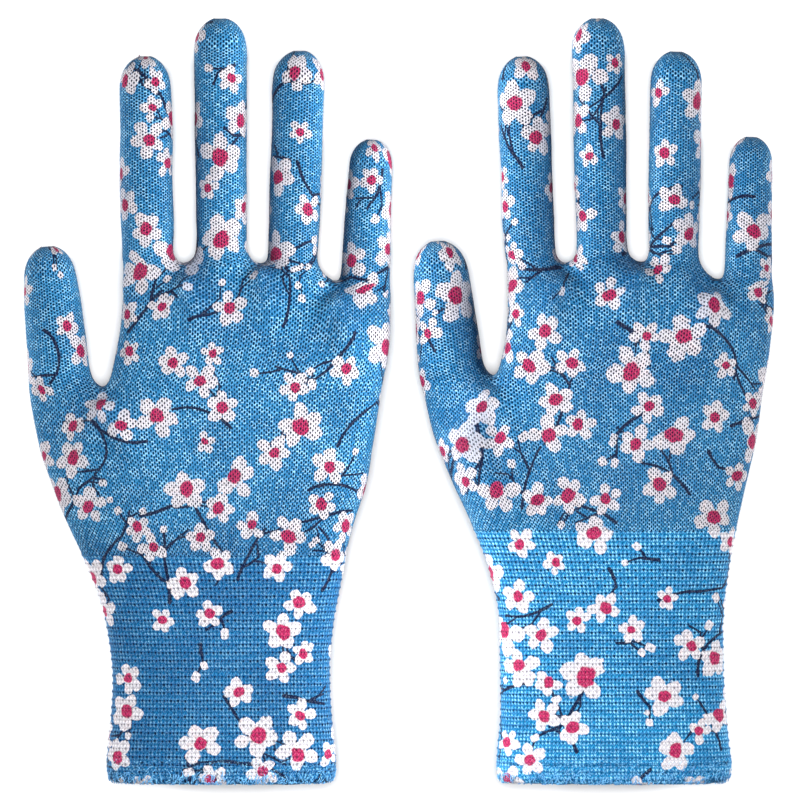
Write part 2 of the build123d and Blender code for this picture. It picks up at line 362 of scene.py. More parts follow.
def lower_ring(side, y, inset=0.0):
    """Points round the cuff or the lower palm at a height above the hem, some way inside its skin."""
    g = HAND[side]
    left, right, thick = (curve(g[k])(y) for k in ("left", "right", "thick"))
    low = 0.6 * float(1 - smoothstep(g["cuff_top"], g["cuff_top"] + 15, y))
    xz = oval(left + inset, right - inset, low + inset, low + thick - inset, RING)
    thumb = float(smoothstep(g["cuff_top"], g["fork"], y))
    flat = 1 - 0.27 * thumb * (1 - smoothstep(-60, -26, xz[:, 0]))
    xz[:, 1] = low + (xz[:, 1] - low) * flat
    xz[:, 1] = thinned(xz, g["inner"][0][1], 6.5, 0.42 * float(smoothstep(g["fork"] - 20, g["fork"], y)))
    return np.stack([g["cuff_x"] + xz[:, 0], y - LENGTH / 2 + np.zeros(RING), xz[:, 1]], 1)


class Glove:
    """The steps of building one glove's cage, from the hem upwards."""

    def __init__(self, side):
        g = HAND[side]
        self.side = side
        self.g = g
        self.cage = Cage()
        self.right, self.inner, self.thick, self.knuckle = (
            curve(g[k]) for k in ("right", "inner", "thick", "knuckles"))
        # the palm's knitted rows are counted on from the cuff's
        self.first = 3 * CUFF_ROW_RIDGES * g["cuff_rows"]
        self.rate = COURSES * PALM_ROWS / (g["fork"] - g["cuff_top"])
        for name in ("palm_lower", "palm_upper"):
            self.cage.courses[name] = (self.first, g["cuff_top"], self.rate)

    def ring_at(self, y, inset=0.0):
        return ring_of(self.cage, lower_ring(self.side, y, inset))

    def saddle_between(self, ring, j, drop):
        """One vertex where two tubes branch, between an upper and a lower vertex of their ring."""
        upper, lower = (np.array(self.cage.points[ring.ids[i]]) for i in (j, len(ring.ids) - j))
        return self.cage.add([(upper + lower) / 2 - np.array([0, drop, 0])], softness=0.9)[0]

    def cuff_and_hem(self):
        """The cuff's inner wall, its turned edge and its outer wall, then the band that wraps the edge."""
        g, cage = self.g, self.cage
        heights = np.linspace(EDGE_HEIGHT, g["cuff_top"], g["cuff_rows"] + 1)
        columns = ring_columns(0, TOP)
        rows = [(CUFF_ROW_RIDGES * i, y) for i, y in enumerate(heights)]
        inside = [self.ring_at(y, WALL) for y in heights[:-1:2]] + [self.ring_at(g["cuff_top"], 0.15)]
        outside = [self.ring_at(y) for y in heights]
        cage.tube(inside, columns, rows[:-1:2] + rows[-1:], ["cuff"] * len(rows), outward=False)
        edge = self.ring_at(EDGE_HEIGHT - 0.5, WALL / 2)
        cage.tube([inside[0], edge, outside[0]], columns, rows[:1] * 3, ["cuff"] * 2)
        cage.tube(outside, columns, rows, ["cuff"] * len(rows))

        band = [self.ring_at(y, inset) for y, inset in HEM_BAND]
        run = np.concatenate([[0.0], np.cumsum(np.hypot(*np.diff(np.array(HEM_BAND), axis=0).T))])
        top = HEM_BAND[0][0]
        rows = [((top - at - EDGE_HEIGHT) / (2 * COURSE_HEIGHT), top - at) for at in run]
        cage.tube(band[::-1], columns, rows[::-1], ["hem"] * len(band))
        return outside[-1]

    def lower_palm(self, cuff_ring):
        """The five-finger section, from the cuff to the thumb's fork."""
        g, cage = self.g, self.cage
        heights = np.linspace(g["cuff_top"], g["fork"], PALM_ROWS + 1)
        rings = [cuff_ring] + [self.ring_at(y) for y in heights[1:]]
        cage.tube(rings, ring_columns(0, TOP), BY_HEIGHT * len(rings), ["palm_lower"] * len(rings))
        for i in rings[-1].ids:
            x = cage.points[i][0] - g["cuff_x"]
            cage.softness[i] = 0.9 * math.exp(-((x + 38) / 10) ** 2)
        return rings[-1]

    def upper_palm(self, fork_ring, thumb_fork):
        """The four-finger section. Its columns drift so that the finger forks fall where they should."""
        g, cage, knuckle, fork = self.g, self.cage, self.knuckle, self.g["fork"]
        tops = TOP - THUMB_COLUMNS
        rings = [fork_ring.part(1 + THUMB_COLUMNS, tops - 1, thumb_fork, fork_ring.ids[TOP + 1])]
        shares = [FORK_RADIUS / (knuckle(0.0) - fork)] + [r / UPPER_ROWS for r in range(1, UPPER_ROWS + 1)]
        for share in shares:
            y = fork + share * (knuckle(10.0) - fork)
            xz = oval(self.inner(y), self.right(y), 0.0, self.thick(y), 2 * tops + 2)
            across = xz[1:tops + 1, 0]
            fork_at = [across[0], *[across[FINGER_COLUMNS * i] for i in (1, 2, 3)], across[-1]]
            wanted = [across[0], *g["forks"], across[-1]]
            drift = np.interp(xz[:, 0], fork_at, wanted) - np.interp(xz[:, 0], fork_at, fork_at)
            keep = (xz[:, 0] > across[0]) & (xz[:, 0] < across[-1])
            xz[keep, 0] += drift[keep] * share
            for x in g["forks"]:
                xz[:, 1] = thinned(xz, x, 5.6, 0.56 * float(smoothstep(0.5, 1.0, share)))
            height = fork + share * (knuckle(xz[:, 0]) - fork) - LENGTH / 2
            rings.append(ring_of(cage, np.stack([g["cuff_x"] + xz[:, 0], height, xz[:, 1]], 1)))
            near_thumb = 0.4 * (1 - smoothstep(0.0, 0.3, share)) * np.exp(-((xz[:, 0] - xz[0, 0]) / 7) ** 2)
            near_fork = sum(np.exp(-((xz[:, 0] - x) / 5) ** 2) for x in g["forks"])
            near_fork = near_fork * smoothstep(0.7, 1.0, share)
            for i, softness in zip(rings[-1].ids, near_thumb + 0.8 * near_fork):
                cage.softness[i] = softness
        columns = ring_columns(THUMB_COLUMNS, tops)
        cage.tube(rings, columns, BY_HEIGHT * len(rings), ["palm_upper"] * len(rings))
        return rings[-1]

    def finger(self, name, sizes, root_ring, n, first_column, start_y):
        """A finger tube of n upper columns, from the palm's ring to its closed end."""
        g, cage = self.g, self.cage
        root_x, tip_x, tip_y, r0, r1, fold, rise = sizes
        count = 2 * n + 2
        swell = 3 / (2 + math.cos(2 * math.pi / count))  # subdivision pulls a polygon in by this much
        root = np.array([g["cuff_x"] + root_x, start_y - LENGTH / 2, r0 + rise])
        tip = np.array([g["cuff_x"] + tip_x, tip_y - TIP_LENGTH * r1 - LENGTH / 2, r1 + rise])
        total = float(np.linalg.norm(tip - root))
        along = (tip - root) / total
        across = np.cross(along, [0, 0, 1])
        across /= np.linalg.norm(across)
        up = np.cross(across, along)
        angle = math.pi - np.arange(count) * 2 * math.pi / count

        def ring(s, radius, softness=0.0):
            c = root + along * s
            points = c + radius * swell * (np.cos(angle)[:, None] * across + np.sin(angle)[:, None] * up)
            made = ring_of(cage, points, softness)
            # the print keeps its width where the tube closes
            stretch = r0 * swell / max(radius * swell, 1.0) if radius < 0.95 * min(r0, r1) else 1.0
            made.over = [c[0] + (p - c[0]) * stretch for p in made.over]
            made.under = [c[0] + (p - c[0]) * stretch for p in made.under]
            return made

        fold += FOLD_START
        row_length = COURSES * COURSE_HEIGHT
        base_rows = max(2, round(fold / row_length))
        end_rows = max(2, round((total - fold) / row_length))
        stops = [FORK_RADIUS, *np.linspace(0, fold, base_rows + 1)[1:]]
        stops += [*np.linspace(fold, total, end_rows + 1)[1:]]
        row0 = (self.first + self.rate * (start_y - g["cuff_top"]), start_y)
        rings, rows, pieces = [root_ring], [row0], []
        cage.courses[name + "_base"] = (*row0, FINGER_COURSES / row_length)
        for s, softness in itertools.zip_longest(stops, (0.15, 0.22, 0.1), fillvalue=0.0):
            rings.append(ring(s, r0 + (r1 - r0) * s / total, softness))
            rows.append((row0[0] + FINGER_COURSES * s / row_length, row0[1] + s))
            pieces.append(name + ("_base" if s <= fold + 1e-6 else "_end"))
        for degrees in (22, 42, 60, 77):
            a = math.radians(degrees)
            rings.append(ring(total + TIP_LENGTH * r1 * math.sin(a), r1 * math.cos(a)))
            rows.append((rows[-1][0] + TOE_COURSES, row0[1] + total + r1 * a))
            pieces.append(name + "_end")
        cage.tube(rings, ring_columns(first_column, n), rows, pieces)
        self.close(name + "_end", rings[-1], rows[-1], n, first_column)

    def close(self, piece, last, row, n, first_column):
        """The closed toe of a finger tube: its upper and lower vertices are zipped together."""
        course, height = row
        over, under = last.ids[1:n + 1], last.ids[n + 2:][::-1]
        u = [(first_column + j) * WALES for j in range(-1, n + 1)]
        for j in range(n - 1):
            corners = [over[j], under[j], under[j + 1], over[j + 1]]
            knit = [(u[j + 1], course), (u[j + 1], course + 2), (u[j + 2], course + 2), (u[j + 2], course)]
            a, b = last.over[j + 1], last.over[j + 2]
            self.cage.face(corners, knit, [(a, height), (a, height + 3), (b, height + 3), (b, height)], piece)
        left_end, right_end = [last.ids[0], over[0], under[0]], [last.ids[n + 1], over[-1], under[-1]]
        for corners, end, place in ((left_end, u[0], last.over[0]), (right_end, u[-1], last.over[-1])):
            knit = [(end, course + i) for i in range(3)]
            self.cage.face(corners, knit, [(place, height + i) for i in range(3)], piece)


def build_cage(side):
    """The cage of one glove in mm, before smoothing."""
    glove = Glove(side)
    g = glove.g
    fork_ring = glove.lower_palm(glove.cuff_and_hem())
    thumb_fork = glove.saddle_between(fork_ring, 1 + THUMB_COLUMNS, 1.5)
    knuckles = glove.upper_palm(fork_ring, thumb_fork)
    saddles = [glove.saddle_between(knuckles, 1 + FINGER_COLUMNS * i, 1.0) for i in (1, 2, 3)]
    ends = [knuckles.ids[0], *saddles, knuckles.ids[TOP - THUMB_COLUMNS + 1]]
    for i, (name, sizes) in enumerate(zip(FINGERS, g["fingers"])):
        if name == "thumb":
            root_ring = fork_ring.part(1, THUMB_COLUMNS, fork_ring.ids[0], thumb_fork)
            glove.finger(name, sizes, root_ring, THUMB_COLUMNS + 1, 0, g["fork"] + 1.0)
        else:
            first = FINGER_COLUMNS * (i - 1)
            root_ring = knuckles.part(1 + first, FINGER_COLUMNS, ends[i - 1], ends[i])
            start_y = float(glove.knuckle(sizes[0]))
            glove.finger(name, sizes, root_ring, FINGER_COLUMNS + 1, THUMB_COLUMNS + first, start_y)
    return glove.cage


def relax(cage, rounds=8):
    """Rounds off the places where tubes branch: soft vertices move towards the middle of their neighbours."""
    points = np.array(cage.points, float)
    soft = np.array(cage.softness)[:, None] * 0.5
    pairs = {(min(pair), max(pair)) for f in cage.faces for pair in zip(f, f[1:] + f[:1])}
    a, b = np.array(sorted(pairs)).T
    degree = np.bincount(a, minlength=len(points)) + np.bincount(b, minlength=len(points))
    for _ in range(rounds):
        total = np.zeros_like(points)
        np.add.at(total, a, points[b])
        np.add.at(total, b, points[a])
        points += soft * (total / degree[:, None] - points)
    cage.points = points


def subdivided(cage, name):
    """The cage rounded by subdivision, as arrays: points, corners of faces, fabric places and pieces."""
    names = sorted(set(cage.pieces))
    mesh = bpy.data.meshes.new(name)
    mesh.from_pydata([tuple(p) for p in cage.points], [], cage.faces)
    for layer, values in (("knit", cage.knit), ("fabric", cage.fabric)):
        flat = np.array([c for face in values for c in face], np.float32)
        mesh.uv_layers.new(name=layer).data.foreach_set("uv", flat.ravel())
    mesh.polygons.foreach_set("material_index", [names.index(p) for p in cage.pieces])
    for _ in names:
        mesh.materials.append(None)
    obj = linked(name, mesh)
    sub = obj.modifiers.new("round", "SUBSURF")
    sub.levels = FINENESS
    sub.uv_smooth = "NONE"
    bpy.context.view_layer.update()
    fine = bpy.data.meshes.new_from_object(obj.evaluated_get(bpy.context.evaluated_depsgraph_get()))
    out = {"names": names}
    count, faces = len(fine.vertices), len(fine.polygons)
    for key, shape, source, attribute, kind in (
        ("points", (count, 3), fine.vertices, "co", np.float32),
        ("corners", (faces, 4), fine.loops, "vertex_index", np.int32),
        ("piece", (faces,), fine.polygons, "material_index", np.int32),
        ("knit", (faces, 4, 2), fine.uv_layers["knit"].data, "uv", np.float32),
        ("fabric", (faces, 4, 2), fine.uv_layers["fabric"].data, "uv", np.float32),
    ):
        values = np.empty(math.prod(shape), kind)
        source.foreach_get(attribute, values)
        out[key] = values.reshape(shape)
    out["points"] = out["points"].astype(float)
    bpy.data.objects.remove(obj)
    bpy.data.meshes.remove(mesh)
    bpy.data.meshes.remove(fine)
    return out


def normals_of(points, corners):
    """Area-weighted vertex normals of a mesh of four-sided faces."""
    p = points[corners]
    face = np.cross(p[:, 2] - p[:, 0], p[:, 3] - p[:, 1])
    out = np.zeros_like(points)
    for c in range(4):
        np.add.at(out, corners[:, c], face)
    return out / np.maximum(np.linalg.norm(out, axis=1, keepdims=True), 1e-12)


def lattice_noise(points, seed):
    """Smooth noise between -1 and 1 over points scaled so that its grain is about one unit."""
    cell = np.floor(points).astype(np.int64)
    part = points - cell
    part = part * part * (3 - 2 * part)
    total = np.zeros(len(points))
    for corner in itertools.product((0, 1), repeat=3):
        # a number for this corner of the lattice, scrambled with large odd factors
        h = ((cell + corner) * (374761393, 668265263, 2147483647)).sum(axis=1) + seed * 1442695041
        h &= 0xFFFFFFFF
        h = ((h ^ (h >> 13)) * 1274126177) & 0xFFFFFFFF
        weight = np.where(corner, part, 1 - part).prod(axis=1)
        total += (((h ^ (h >> 16)) & 0xFFFF) / 32767.5 - 1) * weight
    return total


# ------------------------------------------------------------------ the print
class Print:
    """Sprigs of blossom scattered over the fabric: petals, hearts and twigs as simple shapes in mm.

    A petal or heart is (x, y, half length, half width, direction, tone), a twig (x0, y0, x1, y1, half width).
    A tone above 1 is a bud, which is squarer than a petal.
    """

    def __init__(self, seed):
        self.rng = np.random.default_rng(seed)
        self.petals, self.hearts, self.twigs, self.flowers = [], [], [], []
        rng = self.rng
        # one sprig in each cell of a staggered grid
        for row in range(int(PRINT_HEIGHT / SPRIG_STEP) + 2):
            for column in range(int(PRINT_WIDTH / SPRIG_STEP) + 2):
                x = (column + 0.5 * (row % 2) + rng.uniform(-0.25, 0.25)) * SPRIG_STEP
                y = (row + rng.uniform(-0.25, 0.25)) * SPRIG_STEP
                direction = rng.uniform(0, 2 * math.pi)
                self.branch(x, y, direction, rng.uniform(13, 23), rng.uniform(0.40, 0.54), 0)
        # smaller sprigs, then single flowers, where the cloth is still bare
        for reach, sprig in ((15.0, True), (12.0, False)):
            for _ in range(900):
                x, y = rng.uniform(0, PRINT_WIDTH), rng.uniform(0, PRINT_HEIGHT)
                if any((x - a) ** 2 + (y - b) ** 2 <= reach**2 for a, b, _ in self.flowers):
                    continue
                if sprig:
                    direction = rng.uniform(0, 2 * math.pi)
                    self.branch(*ahead(x, y, direction, -4), direction, 6.0, 0.45, 1)
                else:
                    self.flower(x, y, rng.uniform(3.6, 5.6))

    def free(self, x, y, r, slack=0.82):
        return all((x - a) ** 2 + (y - b) ** 2 > (slack * (r + c)) ** 2 for a, b, c in self.flowers)

    def flower(self, x, y, r):
        """Four or five petals round a heart, if there is room; tells whether there was."""
        rng = self.rng
        if not self.free(x, y, r):
            return False
        self.flowers.append((x, y, r))
        count = 5 if rng.random() < 0.8 else 4
        turn = rng.uniform(0, 2 * math.pi)
        for k in range(count):
            direction = turn + 2 * math.pi * k / 5 + rng.normal(0, 0.13)
            size = r * rng.uniform(0.28, 0.37)
            length = size * rng.uniform(1.12, 1.42)
            reach = r * rng.uniform(0.88, 1.06) - length
            self.petals.append((*ahead(x, y, direction, reach), length, size, direction, rng.random()))
        self.petals.append((x, y, 0.38 * r, 0.35 * r, turn, rng.random()))
        heart = r * rng.uniform(0.27, 0.36)
        hx, hy = x + r * rng.normal(0, 0.06), y + r * rng.normal(0, 0.06)
        self.hearts.append((hx, hy, heart * rng.uniform(1.0, 1.25), heart, rng.uniform(0, 3.1), rng.random()))
        return True

    def bud(self, x, y, direction):
        size = self.rng.uniform(0.85, 1.35)
        if self.free(x, y, size, 1.0):
            self.flowers.append((x, y, size))
            self.petals.append((x, y, size * self.rng.uniform(1.0, 1.3), size, direction, 2.0))

    def branch(self, x, y, direction, length, half_width, depth):
        """A curved twig that forks and carries blossoms and buds."""
        rng = self.rng
        bow = rng.normal(0, 0.075)
        steps = max(2, round(length / TWIG_STEP))
        most = min(steps - 1, int(rng.integers(1, 3)))
        forks = set(rng.choice(np.arange(1, steps), size=most, replace=False))
        for step in range(steps):
            end = ahead(x, y, direction, TWIG_STEP)
            self.twigs.append((x, y, *end, half_width * (1 - 0.35 * step / steps)))
            x, y = end
            direction += bow + rng.normal(0, 0.06)
            if step in forks and depth < 2:
                hand = rng.choice([-1, 1])
                self.branch(x, y, direction + hand * rng.uniform(0.5, 0.95), length * rng.uniform(0.35, 0.6),
                            half_width * 0.8, depth + 1)
                if rng.random() < 0.7:
                    r = rng.uniform(4.2, 7.0)
                    away = direction - hand * rng.uniform(1.1, 1.9)
                    self.flower(*ahead(x, y, away, r * 0.85), r)
        if rng.random() < (0.85 if depth == 0 else 0.6):
            r = rng.choice([rng.uniform(4.6, 6.6), rng.uniform(6.6, 8.6)], p=[0.6, 0.4])
            x, y = ahead(x, y, direction, 0.7 * r)
            if self.flower(x, y, r):
                for _ in range(int(rng.integers(1, 4))):
                    near, q = rng.uniform(0, 2 * math.pi), rng.uniform(4.0, 6.6)
                    self.flower(*ahead(x, y, near, 0.93 * (r + q)), q)
        else:
            self.bud(*ahead(x, y, direction, 0.9), direction)
            if rng.random() < 0.6:
                turn = direction + rng.choice([-1, 1]) * 1.2
                self.bud(*ahead(x, y, turn, 2.1), turn)


def ahead(x, y, direction, distance):
    """The place some way off in a direction."""
    return x + distance * math.cos(direction), y + distance * math.sin(direction)


def near_places(centres, x, y, reach):
    """Which face centres lie in a square round a place, and their offsets from it."""
    near = np.nonzero((np.abs(centres[:, 0] - x) < reach) & (np.abs(centres[:, 1] - y) < reach))[0]
    return near, centres[near] - (x, y)


def turned(d, c, s):
    """Offsets measured along and across a direction, which is given by its cosine and its sine."""
    return d[..., 0] * c + d[..., 1] * s, d[..., 1] * c - d[..., 0] * s


def nearest_ovals(centres, ovals, ranks=1):
    """For each face centre, the index of its nearest ovals by scaled distance, -1 where none is near."""
    best = np.full((ranks, len(centres)), np.inf)
    index = np.full((ranks, len(centres)), -1)
    for n, (x, y, a, b, turn, _) in enumerate(ovals):
        near, d = near_places(centres, x, y, 1.9 * a + 0.8)
        along, across = turned(d, math.cos(turn), math.sin(turn))
        q = np.hypot(along / a, across / b)
        closer = q < best[0, near]
        hit = near[closer]
        if ranks == 2:
            best[1, hit], index[1, hit] = best[0, hit], index[0, hit]
            second = ~closer & (q < best[1, near])
            best[1, near[second]], index[1, near[second]] = q[second], n
        best[0, hit], index[0, hit] = q[closer], n
    return index


def oval_places(corners, ovals, index):
    """Each face corner's place within its oval, whose edge is at length 1; the third number is its tone."""
    out = np.full((*corners.shape[:2], 3), AWAY, np.float32)
    on = index >= 0
    x, y, a, b, turn, tone = np.array(ovals, float)[index[on]].T[:, :, None]
    along, across = turned(corners[on] - np.stack([x, y], -1), np.cos(turn), np.sin(turn))
    out[on] = np.stack([along / a, across / b, tone + 0 * along], -1)
    return out


def twig_places(centres, corners, twigs):
    """Each corner's place along and across its nearest twig, and half the twig's length, in half widths."""
    best = np.full(len(centres), np.inf)
    index = np.full(len(centres), -1)
    table = []
    for n, (x0, y0, x1, y1, w) in enumerate(twigs):
        x, y, length = (x0 + x1) / 2, (y0 + y1) / 2, math.hypot(x1 - x0, y1 - y0)
        ux, uy = (x1 - x0) / length, (y1 - y0) / length
        table.append((x, y, ux, uy, w, length / 2))
        near, d = near_places(centres, x, y, length / 2 + 2.5)
        along, across = turned(d, ux, uy)
        q = np.hypot(np.maximum(np.abs(along) - length / 2, 0), across) / w
        closer = q < best[near]
        best[near[closer]], index[near[closer]] = q[closer], n
    out = np.full((*corners.shape[:2], 3), AWAY, np.float32)
    out[..., 2] = 0.0
    on = index >= 0
    x, y, ux, uy, w, half = np.array(table)[index[on]].T[:, :, None]
    along, across = turned(corners[on] - np.stack([x, y], -1), ux, uy)
    out[on] = np.stack([along / w, across / w, half / w + 0 * along], -1)
    return out


# ------------------------------------------------------------------ relief of the knit
def hole_depth(u, v):
    """How close a fabric place is to one of the small holes between stitches, from 0 to 1."""
    column = np.round(u)
    shift = 0.5 * np.mod(column, 2)
    du = (u - column) * 0.92
    dv = v + shift - np.round(v + shift)
    return np.exp(-(du**2 + (dv * 1.3) ** 2) / 0.34**2)


def outwardness(points, normals, g):
    """Positive where a point's normal looks away from the middle of the cuff, negative on its inner wall."""
    x = np.clip(points[:, 0], g["cuff_x"] - CORE_REACH, g["cuff_x"] + CORE_REACH)
    middle = np.stack([x, points[:, 1], np.full(len(points), CORE_HEIGHT)], 1)
    return ((points - middle) * normals).sum(axis=1)


def folds_at(x, y, folds):
    """Depth of the soft creases at each place, or strength of the painted shade patches: each runs from where
    it is deepest to where it dies out.
    """
    depth = np.zeros(len(x))
    for x0, y0, x1, y1, width, deep in folds:
        length = math.hypot(x1 - x0, y1 - y0)
        ux, uy = (x1 - x0) / length, (y1 - y0) / length
        along, across = turned(np.stack([x - x0, y - y0], 1), ux, uy)
        fade = smoothstep(-4.0, 3.0, along) * (1 - smoothstep(0.35 * length, 1.1 * length, along))
        depth += deep * np.exp(-(across / (width * 0.6)) ** 2) * fade
    return depth


def shaped(points, corners, fine, side, seed):
    """The fabric's points and normals with its folds and then its stitches, and how strongly painted shade
    darkens each place.
    """
    g = HAND[side]
    in_piece = {}
    for name in ("cuff", "hem"):
        in_piece[name] = np.zeros(len(points), bool)
        in_piece[name][corners[fine["piece"] == fine["names"].index(name)].ravel()] = True
    knit = np.zeros((len(points), 2))
    knit[corners.ravel()] = fine["knit"].reshape(-1, 2)
    u, v = knit.T

    normals = normals_of(points, corners)
    x, y = points[:, 0] - g["cuff_x"], points[:, 1] + LENGTH / 2
    inner_wall = (y < g["cuff_top"] + 0.1) & (outwardness(points, normals, g) < 0)
    soft = lattice_noise(points / (9.0, 14.0, 9.0), seed) * 0.32
    soft += lattice_noise(points / 4.0, seed + 1) * 0.09
    soft -= folds_at(x, y, g["folds"]) * smoothstep(0.15, 0.6, np.abs(normals[:, 2]))
    # painted shade in the webs between the fingers and along their sides, from 0 to 0.8
    painted_shade = (0.8 - 0.8 * np.exp(-folds_at(x, y, g["shade_patches"]))).astype(np.float32)
    points = points + normals * np.where(inner_wall, 0.0, soft)[:, None]

    normals = normals_of(points, corners)
    palm_relief = 0.03 * (1 - np.cos(2 * math.pi * u)) - 0.08 * hole_depth(u, v)
    cuff_relief = -0.17 * np.cos(2 * math.pi * v) - 0.05 * np.cos(4 * math.pi * v) - 0.10
    hem_relief = 0.10 * lattice_noise(points / 0.9, seed + 5) + 0.12 * lattice_noise(points / 2.3, seed + 6)
    relief = np.where(in_piece["cuff"], cuff_relief, palm_relief)
    relief = np.where(in_piece["hem"], hem_relief, relief)
    points = points + normals * relief[:, None]
    points[:, 2] = np.maximum(points[:, 2], LOWEST)
    return points, normals_of(points, corners), painted_shade


def printed(places, side, seed):
    """Where each face corner lies in the printed shapes. The two sides of a glove are printed apart."""
    petals, hearts, twigs = [], [], []
    middle = HAND[side]["cuff_x"]
    for across, offset in ((middle, 0), (UNDER_PLACE - middle, 50)):
        made = Print(seed + offset)
        dx, dy = across - PRINT_WIDTH / 2, PRINT_FOOT
        for shapes, new in ((petals, made.petals), (hearts, made.hearts)):
            shapes.extend((x + dx, y + dy, *rest) for x, y, *rest in new)
        twigs.extend((a + dx, b + dy, c + dx, d + dy, w) for a, b, c, d, w in made.twigs)
    centres = places.mean(axis=1)
    first, second = nearest_ovals(centres, petals, ranks=2)
    return {
        "petal_a": oval_places(places, petals, first),
        "petal_b": oval_places(places, petals, second),
        "heart": oval_places(places, hearts, nearest_ovals(centres, hearts)[0]),
        "twig": twig_places(centres, places, twigs),
    }


def knit_piece(name, fine, chosen, shape, prints):
    """One piece of a glove's fabric, made of the chosen faces, with its print and stitches as attributes."""
    points, normals, painted_shade = shape
    used, remap = np.unique(fine["corners"][chosen], return_inverse=True)
    mesh = bpy.data.meshes.new(name)
    mesh.vertices.add(len(used))
    mesh.vertices.foreach_set("co", (points[used] * MM).astype(np.float32).ravel())
    mesh.loops.add(4 * len(chosen))
    mesh.loops.foreach_set("vertex_index", remap.ravel().astype(np.int32))
    mesh.polygons.add(len(chosen))
    mesh.polygons.foreach_set("loop_start", np.arange(0, 4 * len(chosen), 4, dtype=np.int32))
    mesh.uv_layers.new(name="knit").data.foreach_set("uv", fine["knit"][chosen].astype(np.float32).ravel())
    for key, values in prints.items():
        attribute = mesh.attributes.new(key, "FLOAT_VECTOR", "CORNER")
        attribute.data.foreach_set("vector", values[chosen].ravel())
    # the painted shade, kept for the material
    mesh.attributes.new("painted_shade", "FLOAT", "POINT").data.foreach_set("value", painted_shade[used])
    mesh.update(calc_edges=True)
    mesh.validate()
    mesh.polygons.foreach_set("use_smooth", [True] * len(mesh.polygons))
    mesh.normals_split_custom_set_from_vertices([tuple(v) for v in normals[used]])
    return linked(name + "_knit", mesh)


def build_glove(side, seed):
    """One glove's knitted pieces, by the name of the node they replace, and the edges that they share."""
    cage = build_cage(side)
    relax(cage)
    fine = subdivided(cage, side + "_form")
    points, corners, names = fine["points"], fine["corners"], fine["names"]
    for name, (course, height, rate) in cage.courses.items():
        chosen = fine["piece"] == names.index(name)
        true_height = points[corners[chosen], 1] + LENGTH / 2
        fine["knit"][chosen, :, 1] = course + rate * (true_height - height)
        fine["fabric"][chosen, :, 1] = true_height
    for n, name in enumerate(names):
        if name not in ("cuff", "hem"):
            density = COLUMN_DENSITY["palm" if name.startswith("palm") else "finger"]
            fine["knit"][fine["piece"] == n, :, 0] *= density
    shape = shaped(points, corners, fine, side, seed)
    prints = printed(fine["fabric"].astype(float), side, seed)

    made, used = {}, {}
    for n, name in enumerate(names):
        chosen = np.nonzero(fine["piece"] == n)[0]
        made[name] = knit_piece(f"{side}_{name}", fine, chosen, shape, prints)
        used[name] = np.unique(corners[chosen])
    hinges = [("palm_lower", "cuff"), ("palm_lower", "thumb_base")]
    hinges += [("palm_upper", f"{f}_base") for f in FINGERS[1:]]
    hinges += [(f"{f}_base", f"{f}_end") for f in FINGERS]
    edges = {child: shape[0][np.intersect1d(used[parent], used[child])] * MM for parent, child in hinges}
    return made, edges


def tube_mesh(name, paths, radius, sides):
    """A mesh of thin round tubes. Each path is (points, closed)."""
    turn = np.arange(sides) * 2 * math.pi / sides
    vertices, faces = [], []
    for path, closed in paths:
        count = len(path)
        step = np.roll(path, -1, axis=0) - np.roll(path, 1, axis=0)
        if not closed:
            step[0], step[-1] = path[1] - path[0], path[-1] - path[-2]
        step /= np.linalg.norm(step, axis=1, keepdims=True)
        aside = np.cross(step, [0.0, 1.0, 0.0] if closed else [0.31, 0.17, 0.93])
        aside /= np.linalg.norm(aside, axis=1, keepdims=True)
        above = np.cross(step, aside)
        ring = np.cos(turn)[None, :, None] * aside[:, None] + np.sin(turn)[None, :, None] * above[:, None]
        start = sum(len(v) for v in vertices)
        vertices.append((path[:, None] + radius * ring).reshape(-1, 3))
        for i in range(count if closed else count - 1):
            n = (i + 1) % count
            for k in range(sides):
                m = (k + 1) % sides
                quad = (i * sides + k, i * sides + m, n * sides + m, n * sides + k)
                faces.append(tuple(start + at for at in quad))
        if not closed:
            faces.append(tuple(start + k for k in reversed(range(sides))))
            faces.append(tuple(start + (count - 1) * sides + k for k in range(sides)))
    mesh = bpy.data.meshes.new(name)
    mesh.from_pydata((np.concatenate(vertices) * MM).tolist(), [], faces)
    mesh.polygons.foreach_set("use_smooth", [True] * len(mesh.polygons))
    return linked(name, mesh)


def build_threads(side):
    """The rows of stretch thread laid along the inside of the cuff."""
    low, high = (c[1] / MM + LENGTH / 2 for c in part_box(f"{side}_elastic"))
    count = round((high - low) / THREAD_PITCH) + 1
    rows = np.linspace(low + THREAD_RADIUS, high - THREAD_RADIUS, count)
    paths = [(lower_ring(side, y, WALL + 0.1), True) for y in rows]
    return tube_mesh(f"{side}_elastic_rows", paths, THREAD_RADIUS, 6)


def build_loops(side, seed):
    """Loose loops of yarn standing off the hem, where the knitting was cast on."""
    rng = np.random.default_rng(seed)
    paths = []
    for _ in range(HEM_LOOPS):
        y = min(abs(rng.normal(0.0, 1.9)), 6.0)
        place, part = rng.integers(0, RING), rng.random()
        inset = np.interp(y, [0, 0.7, 2.2, 8], [0.3, -0.10, -0.32, -0.2])
        ring = lower_ring(side, y, inset)
        here = ring[place] * (1 - part) + ring[(place + 1) % RING] * part
        along = ring[(place + 1) % RING] - ring[place]
        along /= np.linalg.norm(along)
        outward = np.cross(along, [0.0, 1.0, 0.0])
        if (here - ring.mean(axis=0)) @ outward < 0:
            outward = -outward
        lean = rng.normal(0.0, 0.55)
        direction = along * math.sin(lean) + np.array([0.0, math.cos(lean), 0.0])
        reach, rise = rng.uniform(0.5, 1.0), rng.uniform(0.16, 0.34)
        t = np.linspace(-1, 1, 7)[:, None]
        path = here + direction * t * reach + outward * (rise * (1 - t**2) - 0.15)
        path += along * 0.15 * np.sin(3 * t)
        path[:, 2] = np.maximum(path[:, 2], LOWEST + 0.15)
        path[:, 1] = np.maximum(path[:, 1], 0.15 - LENGTH / 2)
        paths.append((path, False))
    return tube_mesh(f"{side}_hem_loops", paths, 0.13, 5)


